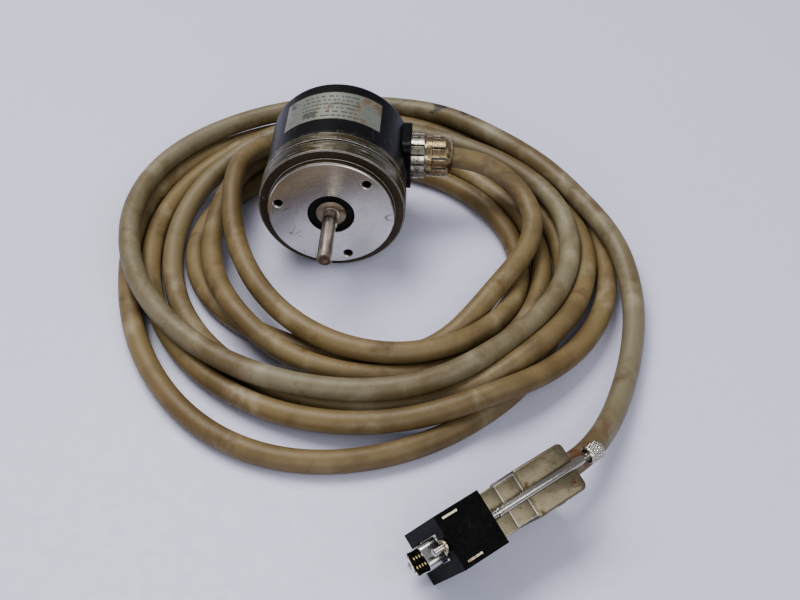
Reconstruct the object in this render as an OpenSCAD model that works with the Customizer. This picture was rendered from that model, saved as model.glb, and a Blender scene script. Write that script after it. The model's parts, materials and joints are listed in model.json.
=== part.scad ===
// Shaft encoder with a synchro flange, a moulded cap, a radial cable gland and a coiled lead with a
// nine-way plug. The shaft runs along -Y, its axis is 29 mm above the surface that the encoder lies
// on, and the origin is on that axis in the plane of the mounting step. The gland points along +X.

/* [Flange] */
// Diameter of the flange rim
rim_d = 58; // [57:0.5:60]
// Diameter of the centring collar
collar_d = 50; // [48:0.5:52]
// Length of the centring collar
collar_len = 3; // [2:0.5:4]
// Pitch circle diameter of the mounting holes
hole_pcd = 42; // [40:0.5:43]
// Diameter of the mounting holes, the tapping size of M4
hole_d = 3.3; // [2.5:0.1:4]
// Angle of the first mounting hole, seen from the shaft side
hole_angle = 47; // [30:1:60]

/* [Shaft] */
// Diameter of the shaft
shaft_d = 6; // [5.5:0.1:6]
// Length of the shaft in front of the mounting step
shaft_reach = 29.5; // [15:0.5:35]
// Depth of the flat ground on the shaft
flat_depth = 0.5; // [0.2:0.1:0.6]

/* [Cap] */
// Diameter of the cap
cap_d = 57; // [56.5:0.5:58]
// Distance from the mounting step to the back of the cap
cap_back = 46.5; // [46.5:0.5:50]
// Distance from the mounting step to the gland's axis
gland_y = 36.5; // [36:0.25:36.5]

/* [Lead] */
// Diameter of the lead
cord_d = 8.5; // [7:0.25:8.5]
// Outer radius of the coil
coil_outer = 102; // [98:1:104]
// Inner radius of the coil
coil_inner = 52; // [50:1:60]
// Height of the coil
coil_height = 17.5; // [12:0.5:18]

/* [Plug] */
// Thickness of the front block
block_t = 18.2; // [17:0.2:19]
// Length of the front block
block_len = 16.6; // [15:0.2:18]
// Distance from the front of the block to the back of the hood
hood_back = 52; // [50:0.5:56]
// Free travel of the thumbscrews
screw_play = 2.5; // [1:0.5:3]

/* [Hidden] */
$fn = 96;
eps = 0.01;

floor_z = -29;
rim_r = rim_d / 2;
shaft_r = shaft_d / 2;
collar_r = collar_d / 2;
cap_r = cap_d / 2;
cord_r = cord_d / 2;

// Stations along the encoder, measured back from the mounting step.
groove_front = 6.3;
groove_back = 7.3;
rim_back = 11.8;
boss_back = 16;
recess_r = 9.3;
recess_floor = -1;
recess_bore_r = 8;
neck_r = 3.3;
neck_y = -3.1;
journal_r = 3.5;
flat_len = 20;
relief_depth = 0.4;
relief_len = 0.4;
bearing_r = 9.5;
bearing_len = 6;
front_bearing_y = 0.5;
rear_bearing_y = 8;
circlip_y = rear_bearing_y + bearing_len;
hub_y = 16.6;
disc_y = 22;
disc_r = 18;
track_r = 16.5;
sensor_y = 25.4;
board_y = 29;
board_r = 23.5;
board_t = 1.6;
spacer_pcr = 22;
spacer_angles = [90, 210, 330];
cap_wall = 2;
cap_end = 3;
cap_edge = 2.5;
cap_screw_pcr = 20;
cap_screw_angles = [30, 150, 270];
wire_pitch = 1.75;
wire_r = 0.6;
wire_x = 14;

// Bearing proportions.
ball_pcr = 6.25;
ball_r = 1.75;
groove_r = 1.8;
ball_count = 7;
inner_ring_r = 4.9;
outer_ring_r = 7.6;

// Gland stations along +X.
seat_x = 29.8;
ring_end = 35.3;
band_start = 36;
band_end = 38.3;
nut_start = 38.5;
nut_flats_end = 44;
nut_end = 46.8;
gland_bore_r = 4.5;
flutes = 14;

// The nameplate lies on top of the cap.
plate_front = 21;
plate_back = 39;
plate_from = -44;
plate_to = 38.5;
plate_t = 0.15;

// Coil and the two free stretches of the lead.
coil_at = [11, -7];
coil_edge = 5;
bay_half = 31.5;
bay_back = 47.5;
sides = 10;
lead_route = [
    [47, 36.5, 0], [55, 36.8, -0.8], [62, 37, -3.5], [69, 36, -7], [75, 32.5, -10],
    [79.5, 27, -12], [82, 20, -13.5], [82.5, 12, -14.5], [81, 4, -15.5]
];
tail_route = [
    [62, 68.5, -15], [72, 61.5, -15.5], [83, 52, -16.5], [93, 40.5, -18], [102, 27.5, -20],
    [110, 14, -22.5], [115.5, 1, -24.3], [118.5, -13, -24.75], [119.2, -27, -24.75],
    [117.5, -42, -24.75], [114.5, -57, -24.5], [110.5, -71, -23.5], [106, -83.5, -21.5],
    [101, -94.5, -18.5], [95.8, -103.8, -14.6], [90.5, -111, -11.8], [85.41, -115.28, -11]
];

// Pose of the plug: its front centre, its heading and its lean.
plug_at = [45, -148, -11];
plug_heading = 39;
plug_lean = 28;
block_half = 15.5;
hood_half = 11;
hood_t = 15.4;
hood_rear_t = 16.8;
step_front = 24;
step_rear = 32;
screw_offset = 12.5;
screw_r = 1.45;
thread_r = 1.3;
head_start = 56.4;
head_len = 5.6;
head_r = 3.1;
d_long = 8.45;
d_short = 4.18;
d_depth = 6;
pin_pitch = 2.77;
row_pitch = 2.84;

// ---- helpers -----------------------------------------------------------------------------------

// Runs children that are drawn along +Z back along the encoder, from y0.
module back_from(y0)
    translate([0, y0, 0])
        rotate([-90, 0, 0]) children();

// A ring about the encoder's axis.
module ring(outer, inner, y0, y1)
    back_from(y0)
        difference() {
            cylinder(r = outer, h = y1 - y0);
            translate([0, 0, -1])
                cylinder(r = inner, h = y1 - y0 + 2);
        }

// A solid of revolution about the encoder's axis, from points [radius, station].
module turned(points)
    rotate([-90, 0, 0])
        rotate_extrude() polygon(points);

// Children placed at an angle about the encoder's axis, seen from the shaft side.
module about_axis(angle, radius)
    rotate([0, -angle, 0])
        translate([radius, 0, 0]) children();

// A cylinder along +X from x0 to x1.
module rod_x(r, x0, x1)
    translate([x0, 0, 0])
        rotate([0, 90, 0]) cylinder(r = r, h = x1 - x0);

// A rectangle with round corners, centred.
module round_rect(w, h, r)
    union() {
        square([w - 2 * r, h], center = true);
        square([w, h - 2 * r], center = true);
        for (sx = [-1, 1], sy = [-1, 1])
            translate([sx * (w / 2 - r), sy * (h / 2 - r)]) circle(r = r, $fn = 32);
    }

module on_gland()
    translate([0, gland_y, 0]) children();

module on_plug()
    translate(plug_at)
        rotate([0, 0, plug_heading])
            rotate([plug_lean, 0, 0]) children();

function unit(v) = v / norm(v);

function heading(route, i) =
    unit(route[min(i + 1, len(route) - 1)] - route[max(i - 1, 0)]);

function ring_points(route, i, r) =
    let (t = heading(route, i), s = unit(cross(t, [0, 0, 1])), u = cross(s, t))
    [for (k = [0:sides - 1]) route[i] + r * (cos(360 * k / sides) * s + sin(360 * k / sides) * u)];

// A closed tube swept along the points of a route.
module tube(route, r) {
    last = len(route) - 1;
    points = [for (i = [0:last]) each ring_points(route, i, r)];
    walls = [for (i = [0:last - 1], k = [0:sides - 1])
        let (a = i * sides, m = (k + 1) % sides) [a + k, a + sides + k, a + sides + m, a + m]];
    first_cap = [[for (k = [0:sides - 1]) k]];
    last_cap = [[for (k = [sides - 1:-1:0]) last * sides + k]];
    polyhedron(points, concat(walls, first_cap, last_cap), convexity = 6);
}

// ---- flange and seal ---------------------------------------------------------------------------

module flange()
    color("silver")
        difference() {
            turned([
                [bearing_r - 1, -collar_len], [collar_r - 0.5, -collar_len],
                [collar_r, 0.5 - collar_len], [collar_r, 0], [rim_r - 0.4, 0], [rim_r, 0.4],
                [rim_r, groove_front], [rim_r - 1.5, groove_front], [rim_r - 1.5, groove_back],
                [rim_r, groove_back], [rim_r, rim_back - 0.3], [rim_r - 0.3, rim_back],
                [26.3, rim_back], [26.3, 13], [24.9, 13], [24.9, 14.9], [26.3, 14.9],
                [26.3, boss_back], [bearing_r - 1, boss_back]
            ]);
            back_from(-collar_len - 1)
                cylinder(r = recess_r, h = collar_len + 1 + recess_floor);
            back_from(-collar_len)
                cylinder(r = recess_bore_r, h = collar_len + boss_back + 1);
            back_from(front_bearing_y)
                cylinder(r = bearing_r, h = boss_back + 1);
            back_from(circlip_y)
                cylinder(r = bearing_r + 0.6, h = 1);
            for (k = [0:2])
                about_axis(hole_angle + 120 * k, hole_pcd / 2) {
                    back_from(-collar_len - 1)
                        cylinder(d = hole_d, h = 10);
                    back_from(-collar_len - eps)
                        cylinder(r1 = 2.1, r2 = hole_d / 2, h = 0.5);
                }
            turned([[13.5, 12.5], [20.5, 12.5], [20.5, boss_back + 1], [13.5, boss_back + 1]]);
        }

module shaft_seal()
    color("#1c1c1c")
        turned([
            [neck_r + 0.06, -1.9], [recess_r - 0.6, -2.1], [recess_r, -2.1],
            [recess_r, recess_floor], [neck_r + 0.06, recess_floor]
        ]);

// ---- bearings ----------------------------------------------------------------------------------

module ball_groove(y0)
    back_from(y0 + bearing_len / 2)
        rotate_extrude()
            translate([ball_pcr, 0]) circle(r = groove_r, $fn = 48);

module bearing_outer(y0)
    color("lightgrey")
        difference() {
            ring(bearing_r, outer_ring_r, y0, y0 + bearing_len);
            ball_groove(y0);
        }

module bearing_inner(y0)
    color("lightgrey")
        difference() {
            ring(inner_ring_r, journal_r, y0, y0 + bearing_len);
            ball_groove(y0);
        }

module bearing_balls(y0)
    color("white")
        for (k = [0:ball_count - 1])
            about_axis(360 * k / ball_count, ball_pcr)
                translate([0, y0 + bearing_len / 2, 0]) sphere(r = ball_r);

module bearing_cage(y0)
    color("goldenrod")
        difference() {
            ring(7.1, 5.4, y0 + 0.8, y0 + bearing_len - 0.8);
            for (k = [0:ball_count - 1])
                about_axis(360 * k / ball_count, 5)
                    translate([0, y0 + bearing_len / 2, 0])
                        rotate([0, 90, 0]) cylinder(r = ball_r + 0.05, h = 3);
        }

module front_bearing_outer() bearing_outer(front_bearing_y);
module rear_bearing_outer() bearing_outer(rear_bearing_y);
module front_bearing_inner() bearing_inner(front_bearing_y);
module rear_bearing_inner() bearing_inner(rear_bearing_y);
module front_balls() bearing_balls(front_bearing_y);
module rear_balls() bearing_balls(rear_bearing_y);
module front_cage() bearing_cage(front_bearing_y);
module rear_cage() bearing_cage(rear_bearing_y);

module bearing_spacer()
    color("grey") ring(bearing_r, 8, front_bearing_y + bearing_len, front_bearing_y + bearing_len + 1);

module wave_washer()
    color("dimgrey") ring(bearing_r - 0.2, 8, front_bearing_y + bearing_len + 1, rear_bearing_y);

module bearing_circlip()
    color("dimgrey")
        difference() {
            ring(bearing_r + 0.5, 8, circlip_y, circlip_y + 1);
            translate([-1.5, circlip_y - 1, -12]) cube([3, 3, 6]);
        }

// ---- shaft, hub and disc -----------------------------------------------------------------------

// The flat ends in a shallow relief round the shaft.
relief_y = flat_len - shaft_reach;

module shaft()
    color("#8d8578")
        difference() {
            turned([
                [0, -shaft_reach], [shaft_r - 0.4, -shaft_reach], [shaft_r, 0.4 - shaft_reach],
                [shaft_r, relief_y], [shaft_r - relief_depth, relief_y],
                [shaft_r - relief_depth, relief_y + relief_len], [shaft_r, relief_y + relief_len],
                [shaft_r, neck_y], [neck_r, neck_y],
                [neck_r, -0.8], [4.4, -0.8], [4.4, front_bearing_y],
                [journal_r, front_bearing_y], [journal_r, circlip_y],
                [journal_r - 0.4, circlip_y], [journal_r - 0.4, circlip_y + 0.7],
                [journal_r, circlip_y + 0.7], [journal_r, disc_y + 2.2], [0, disc_y + 2.2]
            ]);
            translate([shaft_r - flat_depth, -shaft_reach - 1, -5])
                cube([5, flat_len + 1, 10]);
        }

module shaft_washer()
    color("#7a5a3c")
        turned([
            [neck_r, -2.9], [4.4, -2.9], [5.9, -2.6], [5.9, -2.3], [neck_r, -2.3]
        ]);

module inner_spacer()
    color("grey") ring(4.6, journal_r, front_bearing_y + bearing_len, rear_bearing_y);

module shaft_clip()
    color("dimgrey")
        difference() {
            ring(4.8, journal_r - 0.4, circlip_y, circlip_y + 0.7);
            translate([-1.3, circlip_y - 1, 1.5]) cube([2.6, 3, 5]);
        }

module disc_hub()
    color("silver")
        difference() {
            turned([
                [journal_r, hub_y], [7, hub_y], [7, disc_y - 2], [9, disc_y - 2], [9, disc_y],
                [5, disc_y], [5, disc_y + 2.2], [journal_r, disc_y + 2.2]
            ]);
            translate([0, hub_y + 1.7, 0]) cylinder(r = 1, h = 10);
        }

module hub_screw()
    color("dimgrey")
        translate([0, hub_y + 1.7, journal_r])
            difference() {
                cylinder(r = 1, h = 3.4);
                translate([0, 0, 2.2]) cylinder(r = 0.6, h = 2, $fn = 6);
            }

module code_disc()
    color("lightblue", 0.5) ring(disc_r, 5, disc_y, disc_y + 0.9);

module disc_clamp()
    color("dimgrey") ring(8.4, 5, disc_y + 0.9, disc_y + 1.9);

// ---- scanning parts and boards -----------------------------------------------------------------

module light_source()
    color("dimgrey")
        about_axis(0, track_r)
            difference() {
                back_from(12.5) cylinder(r = 2.6, h = 5.5);
                back_from(17) cylinder(r = 1.9, h = 2);
            }

module light_lens()
    color("white", 0.6)
        about_axis(0, track_r)
            union() {
                back_from(17) cylinder(r = 1.9, h = 1.6);
                back_from(18.6) cylinder(r1 = 1.7, r2 = 0.8, h = 0.8);
            }

module scanning_mask()
    color("dimgrey", 0.8)
        translate([track_r - 3, disc_y + 1.3, -4]) cube([6.5, 0.7, 8]);

module photo_array()
    color("#22303a")
        translate([track_r - 3, disc_y + 2, -3.5]) cube([6.5, sensor_y - disc_y - 2, 7]);

module sensor_board()
    color("darkgreen")
        translate([8, sensor_y, -8]) cube([14, 1.2, 16]);

module board_spacers()
    color("khaki")
        for (a = spacer_angles)
            about_axis(a, spacer_pcr)
                back_from(boss_back) cylinder(r = 2.4, h = board_y - boss_back, $fn = 6);

module main_board()
    color("green")
        difference() {
            back_from(board_y) cylinder(r = board_r, h = board_t);
            for (a = cap_screw_angles)
                about_axis(a, cap_screw_pcr)
                    back_from(board_y - 1) cylinder(r = 2, h = board_t + 2);
        }

module chip(w, h, t)
    translate([-w / 2, 0, -h / 2]) cube([w, t, h]);

module line_driver()
    color("#202020")
        translate([-6, board_y + board_t, 3]) {
            chip(6, 10, 1.8);
            for (k = [0:7], s = [-1, 1])
                translate([s * 3.4, 0, -4.4 + 1.26 * k]) chip(1.2, 0.5, 0.8);
        }

module capacitors()
    color("#3b2a1c")
        for (p = [[4, 9], [9, 6], [3, -12], [-12, -8]])
            translate([p[0], board_y + board_t, p[1]])
                back_from(0) cylinder(r = 2, h = 4.5);

module wire_header()
    color("ivory")
        difference() {
            translate([12, board_y + board_t, -6.5]) cube([4, 4.5, 13]);
            each_wire()
                translate([wire_x - 0.8, board_y + board_t + 2, -wire_r - 0.05])
                    cube([1.6, 4, 2 * wire_r + 0.1]);
        }

// Children at each of the six wires.
module each_wire()
    for (k = [0:5])
        translate([0, 0, wire_pitch * (k - 2.5)]) children();

// Insulated wires from the header into the back of the gland.
module lead_wires()
    color("firebrick")
        each_wire() {
            translate([wire_x, board_y + board_t + 4.2, 0])
                rotate([-90, 0, 0]) cylinder(r = wire_r, h = 2.3);
            on_gland() rod_x(wire_r, wire_x - wire_r, 23);
        }

// ---- cap ---------------------------------------------------------------------------------------

module cap_profile()
    polygon(concat(
        [[0, cap_back - cap_end], [cap_r - cap_wall, cap_back - cap_end], [cap_r - cap_wall, rim_back],
         [cap_r, rim_back]],
        [for (a = [0:15:90])
            [cap_r - cap_edge + cap_edge * cos(a), cap_back - cap_edge + cap_edge * sin(a)]],
        [[0, cap_back]]
    ));

module cap()
    color("#17181c")
        difference() {
            union() {
                rotate([-90, 0, 0]) rotate_extrude() cap_profile();
                // Seat of the gland.
                difference() {
                    on_gland()
                        translate([20, 0, 0])
                            rotate([0, 90, 0])
                                linear_extrude(seat_x - 20) round_rect(23, 19.6, 4);
                    back_from(rim_back) cylinder(r = cap_r - cap_wall, h = 40);
                }
            }
            on_gland() rod_x(8, 15, seat_x + 1);
            for (a = cap_screw_angles)
                about_axis(a, cap_screw_pcr) {
                    back_from(cap_back - cap_end - 1) cylinder(r = 1.6, h = 6);
                    back_from(cap_back - 1.6) cylinder(r = 2.9, h = 3);
                }
        }

module cap_seal()
    color("#101010")
        back_from(13.95)
            rotate_extrude()
                translate([25.65, 0]) circle(r = 0.75, $fn = 32);

module cap_screws()
    color("grey")
        for (a = cap_screw_angles)
            about_axis(a, cap_screw_pcr)
                difference() {
                    union() {
                        back_from(boss_back - 0.01) cylinder(r = 1.5, h = cap_back - boss_back - 1);
                        back_from(cap_back - 1.6) cylinder(r = 2.7, h = 1.4);
                    }
                    translate([-2, cap_back - 0.8, -0.4]) cube([4, 2, 0.8]);
                }

module nameplate()
    color("#c9ccc4")
        intersection() {
            ring(cap_r + plate_t, cap_r, plate_front, plate_back);
            // Wedge between the plate's two ends.
            translate([0, plate_front - 1, 0])
                rotate([-90, 0, 0])
                    linear_extrude(plate_back - plate_front + 2)
                        polygon([
                            [0, 0], [60 * sin(plate_from), -60 * cos(plate_from)],
                            [0, -80], [60 * sin(plate_to), -60 * cos(plate_to)]
                        ]);
        }

// ---- gland -------------------------------------------------------------------------------------

module gland_body()
    color("#b9b2a4")
        on_gland()
            difference() {
                union() {
                    rod_x(8, 25, seat_x);
                    rod_x(7.2, seat_x - eps, band_start + eps);
                    rod_x(8.4, band_start, band_end);
                    rod_x(6.8, band_end - eps, 42);
                }
                rod_x(gland_bore_r, 20, 41);
                rod_x(5.6, 40, 43);
            }

// A ring with notches cut along its edge.
module notched(outer, inner, x0, x1, count, notch_w, notch_d)
    difference() {
        rod_x(outer, x0, x1);
        rod_x(inner, x0 - 1, x1 + 1);
        for (k = [0:count - 1])
            rotate([360 * k / count, 0, 0])
                translate([x0 - 1, -notch_w / 2, outer - notch_d])
                    cube([x1 - x0 + 2, notch_w, 2 * notch_d]);
    }

module gland_ring()
    color("#c6c0b4")
        on_gland() notched(9.25, 7.2, seat_x, ring_end, flutes, 0.9, 0.5);

module gland_sleeve()
    color("#222222")
        on_gland()
            difference() {
                rod_x(5.6, 40, 44.9);
                rod_x(cord_r, 39, 46);
            }

module gland_nut()
    color("#b8a888")
        on_gland()
            union() {
                notched(8.5, 6.8, nut_start, 42, 12, 1, 0.6);
                notched(8.5, 5.6, 42 - eps, nut_flats_end, 12, 1, 0.6);
                translate([nut_flats_end - eps, 0, 0])
                    rotate([0, 90, 0])
                        rotate_extrude()
                            polygon([
                                [gland_bore_r, 1], [5.6, 1], [5.6, 0], [7.9, 0], [7.6, 1],
                                [6.8, 2.1], [5.8, nut_end - nut_flats_end],
                                [gland_bore_r, nut_end - nut_flats_end]
                            ]);
            }

// ---- lead --------------------------------------------------------------------------------------

module cord_stub()
    color("#9a8f70")
        on_gland() rod_x(cord_r, 23, 47);

module cord_lead()
    color("#9a8f70") tube(lead_route, cord_r);

module cord_coil()
    color("#a39877")
        translate([coil_at[0], coil_at[1], floor_z])
            difference() {
                rotate_extrude()
                    translate([(coil_inner + coil_outer) / 2, coil_height / 2])
                        round_rect(coil_outer - coil_inner, coil_height, coil_edge);
                translate([-bay_half - coil_at[0], 0, -1])
                    cube([2 * bay_half, bay_back - coil_at[1], coil_height + 2]);
            }

module cord_tail()
    color("#9a8f70") tube(tail_route, cord_r);

// ---- plug --------------------------------------------------------------------------------------

module front_block()
    color("#141414")
        on_plug()
            difference() {
                translate([0, -block_t / 2, -block_half])
                    cube([block_len, block_t, 2 * block_half]);
                // Room for the insulator and the hood's nose.
                translate([1.4, -6.5, -10.4]) cube([block_len, 13, 20.8]);
                translate([-1, -4.6, -8.9]) cube([4, 9.2, 17.8]);
                for (s = [-1, 1]) {
                    translate([0, 0, s * screw_offset]) rod_x(1.6, -1, block_len + 1);
                    for (w = [-1, 1])
                        translate([1.8, w * 7.3 - 0.55, s > 0 ? block_half - 1.2 : -block_half - 1])
                            cube([6.4, 1.1, 2.2]);
                }
            }

module latch_tabs()
    color("silver")
        on_plug()
            for (s = [-1, 1], w = [-1, 1])
                translate([2.2, w * 7.3 - 0.4, s > 0 ? block_half - 1.2 : -block_half + 0.2])
                    cube([5.6, 0.8, 1]);

// Outline of a nine-way shell, with its long side towards -Y.
module d_outline(grow)
    polygon([
        [-d_short - grow, -d_long - grow], [-d_short - grow, d_long + grow],
        [d_short + grow, d_long - 1.5 + grow], [d_short + grow, -d_long + 1.5 - grow]
    ]);

// Draws a plug outline in the plane across the plug and runs it along the plug.
module across_plug(x0, x1)
    translate([x0, 0, 0])
        rotate([90, 0, 90]) linear_extrude(x1 - x0) children();

module plug_shell()
    color("silver")
        on_plug()
            difference() {
                across_plug(-d_depth, 1.4) d_outline(0);
                across_plug(-d_depth - 1, 2) d_outline(-0.5);
            }

module plug_insulator()
    color("#1b1b1b")
        on_plug()
            difference() {
                union() {
                    across_plug(-0.4, 1.4) d_outline(-0.5);
                    across_plug(1.4, 6) d_outline(0.2);
                }
                pin_places() rod_x(0.5, -2, 8);
            }

module pin_places()
    for (row = [0, 1], k = [0:4 - row])
        translate([0, row * row_pitch - row_pitch / 2, (k - 2 + row / 2) * pin_pitch])
            children();

module plug_pins()
    color("gold")
        on_plug() pin_places() rod_x(0.5, -5.2, 9);

module thumb_channel(s)
    translate([0, 0, s * screw_offset]) rod_x(screw_r + 0.15, block_len - 1, 60);

// One half of the hood; side is -1 for the half that lies on the table and 1 for the other.
module hood_half(side) {
    inner = 1.2;
    difference() {
        union() {
            stage(block_len, step_front, hood_t, side);
            stage(step_front - eps, step_rear, hood_t - 0.7, side);
            stage(step_rear - eps, hood_back, hood_rear_t, side);
            stage(9, block_len + eps, 12.6, side);
        }
        translate([8, side > 0 ? -eps : inner - 6.2, inner - hood_half + 0.8])
            cube([hood_back - 8 - 6, 5 + eps, 2 * (hood_half - inner - 0.8)]);
        rod_x(cord_r, hood_back - 8, hood_back + 1);
        for (s = [-1, 1]) {
            thumb_channel(s);
            translate([41, side * 9, s * 7.5])
                rotate([90 * side, 0, 0]) cylinder(r = 1.3, h = 12);
        }
    }
}

// A length of hood on one side of the parting plane.
module stage(x0, x1, t, side)
    translate([x0, side > 0 ? 0 : -t / 2, -hood_half + (t < 13 ? 1 : 0)])
        cube([x1 - x0, t / 2, 2 * (hood_half - (t < 13 ? 1 : 0))]);

module hood_near()
    color("#9c9a8c") on_plug() hood_half(-1);

module hood_far()
    color("#9c9a8c") on_plug() hood_half(1);

module hood_screws()
    color("grey")
        on_plug()
            for (s = [-1, 1])
                translate([41, -8.2, s * 7.5])
                    rotate([-90, 0, 0]) cylinder(r = 1.2, h = 15.4);

module cord_clamp()
    color("silver")
        on_plug()
            difference() {
                translate([36, -4.9, -6]) cube([5, 9.8, 12]);
                rod_x(3.6, 35, 42);
            }

module clamp_screws()
    color("grey")
        on_plug()
            for (s = [-1, 1])
                translate([33.6, 0, s * 4.8]) rod_x(1, 0, 2.4);

module thumbscrew(s)
    color("#b5b2a6")
        on_plug()
            translate([0, 0, s * screw_offset]) {
                rod_x(thread_r, -5, block_len + 2);
                rod_x(screw_r, block_len + 2 - eps, head_start - 1.6);
                rod_x(1.2, head_start - 1.7, head_start + eps);
                difference() {
                    rod_x(head_r, head_start, head_start + head_len);
                    for (k = [0:17])
                        rotate([20 * k, 0, 0])
                            translate([head_start + 0.6, -0.2, head_r - 0.25])
                                cube([head_len - 1.2, 0.4, 1]);
                    translate([head_start + head_len - 0.8, -0.4, -4]) cube([2, 0.8, 8]);
                }
            }

module thumbscrew_upper() thumbscrew(1);
module thumbscrew_lower() thumbscrew(-1);

module thumb_clip(s)
    color("silver")
        on_plug()
            translate([0, 0, s * screw_offset])
                difference() {
                    rod_x(2.3, -1.2, -0.5);
                    rod_x(thread_r + 0.03, -2, 1);
                }

module clip_upper() thumb_clip(1);
module clip_lower() thumb_clip(-1);

flange();
shaft_seal();
front_bearing_outer();
rear_bearing_outer();
bearing_spacer();
wave_washer();
bearing_circlip();
light_source();
light_lens();
scanning_mask();
photo_array();
sensor_board();
board_spacers();
main_board();
line_driver();
capacitors();
wire_header();
cap();
cap_seal();
cap_screws();
nameplate();
lead_wires();
gland_body();
gland_ring();
gland_sleeve();
gland_nut();
shaft();
shaft_washer();
front_bearing_inner();
rear_bearing_inner();
inner_spacer();
shaft_clip();
disc_hub();
code_disc();
disc_clamp();
hub_screw();
front_balls();
front_cage();
rear_balls();
rear_cage();
cord_stub();
cord_lead();
cord_coil();
cord_tail();
front_block();
latch_tabs();
plug_shell();
plug_insulator();
plug_pins();
hood_near();
hood_far();
hood_screws();
cord_clamp();
clamp_screws();
thumbscrew_upper();
thumbscrew_lower();
clip_upper();
clip_lower();
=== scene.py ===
import bpy, bmesh, json, math
import numpy as np
from mathutils import Matrix, Vector


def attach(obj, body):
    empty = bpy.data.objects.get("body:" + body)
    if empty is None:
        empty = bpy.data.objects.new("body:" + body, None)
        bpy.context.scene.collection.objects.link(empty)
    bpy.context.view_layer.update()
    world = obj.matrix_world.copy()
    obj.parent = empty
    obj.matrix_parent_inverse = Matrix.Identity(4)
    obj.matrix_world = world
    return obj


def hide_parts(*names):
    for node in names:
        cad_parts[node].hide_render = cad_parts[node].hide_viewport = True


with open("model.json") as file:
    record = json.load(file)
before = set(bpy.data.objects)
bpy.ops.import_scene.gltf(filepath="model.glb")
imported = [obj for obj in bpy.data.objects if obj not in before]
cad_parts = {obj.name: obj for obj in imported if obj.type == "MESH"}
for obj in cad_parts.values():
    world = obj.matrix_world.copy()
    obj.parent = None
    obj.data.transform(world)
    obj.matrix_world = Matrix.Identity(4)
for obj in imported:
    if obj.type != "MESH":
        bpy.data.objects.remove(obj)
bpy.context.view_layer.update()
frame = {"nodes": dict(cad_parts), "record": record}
MM = 0.001
scene = bpy.context.scene

# ---- camera --------------------------------------------------------------------------------------

cam_data = bpy.data.cameras.new("camera")
cam_data.sensor_width = 36
cam_data.lens = 51.75
cam_data.clip_start, cam_data.clip_end = 0.01, 20
camera = bpy.data.objects.new("camera", cam_data)
scene.collection.objects.link(camera)
camera.location = (0.0449, -0.3459, 0.2921)
camera.rotation_euler = (math.radians(45.48), 0, math.radians(2.97))
scene.camera = camera

# ---- mesh helpers --------------------------------------------------------------------------------


def piece(name, verts, faces, body, material, place=None, sharp=35):
    """A mesh piece from points in mm, placed, given its material and set to ride on a body."""
    mesh = bpy.data.meshes.new(name)
    mesh.from_pydata([tuple(float(c) * MM for c in v) for v in verts], [], faces)
    if place is not None:
        mesh.transform(place)
    mesh.validate()
    bm = bmesh.new()
    bm.from_mesh(mesh)
    bmesh.ops.recalc_face_normals(bm, faces=bm.faces)
    bm.to_mesh(mesh)
    bm.free()
    for p in mesh.polygons:
        p.use_smooth = True
    mesh.set_sharp_from_angle(angle=math.radians(sharp))
    obj = bpy.data.objects.new(name, mesh)
    scene.collection.objects.link(obj)
    obj.data.materials.append(material)
    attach(obj, body)
    return obj


def rounded_box(lo, hi, edge, tall=None, segments=3):
    """Points and faces of a box with round edges. tall lists the upright corners that are rounded
    first, each as x, y and radius."""
    bm = bmesh.new()
    bmesh.ops.create_cube(bm, size=1)
    size = [h - l for l, h in zip(lo, hi)]
    mid = [(h + l) / 2 for l, h in zip(lo, hi)]
    for v in bm.verts:
        v.co = Vector(m + c * s for m, c, s in zip(mid, v.co, size))
    for cx, cy, radius in tall or []:
        at = [e for e in bm.edges if all(
            abs(v.co.x - cx) < 1e-4 and abs(v.co.y - cy) < 1e-4 for v in e.verts)]
        bmesh.ops.bevel(bm, geom=at, offset=radius, segments=5, profile=0.5, affect="EDGES")
    keep = [e for e in bm.edges if len(e.link_faces) == 2 and e.calc_face_angle(0) > 0.6]
    bmesh.ops.bevel(bm, geom=keep, offset=edge, segments=segments, profile=0.5, affect="EDGES",
                    clamp_overlap=True)
    verts = [tuple(v.co) for v in bm.verts]
    index = {v: i for i, v in enumerate(bm.verts)}
    faces = [[index[v] for v in f.verts] for f in bm.faces]
    bm.free()
    return verts, faces


def joined(parts):
    verts, faces = [], []
    for v, f in parts:
        base = len(verts)
        verts += list(v)
        faces += [[i + base for i in face] for face in f]
    return verts, faces


def lathe(profile, count=64, bump=None):
    """A closed solid of revolution about +X from (x, radius) pairs; bump(x, angle) adds to the radius."""
    verts, faces = [], []
    for x, r in profile:
        for k in range(count):
            a = 2 * math.pi * k / count
            rr = r + (bump(x, a) if bump else 0)
            verts.append((x, rr * math.cos(a), rr * math.sin(a)))
    for i in range(len(profile) - 1):
        for k in range(count):
            m = (k + 1) % count
            faces.append([i * count + k, i * count + m, (i + 1) * count + m, (i + 1) * count + k])
    faces.append([k for k in range(count - 1, -1, -1)])
    faces.append([(len(profile) - 1) * count + k for k in range(count)])
    return verts, faces


# ---- material helpers ----------------------------------------------------------------------------


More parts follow.
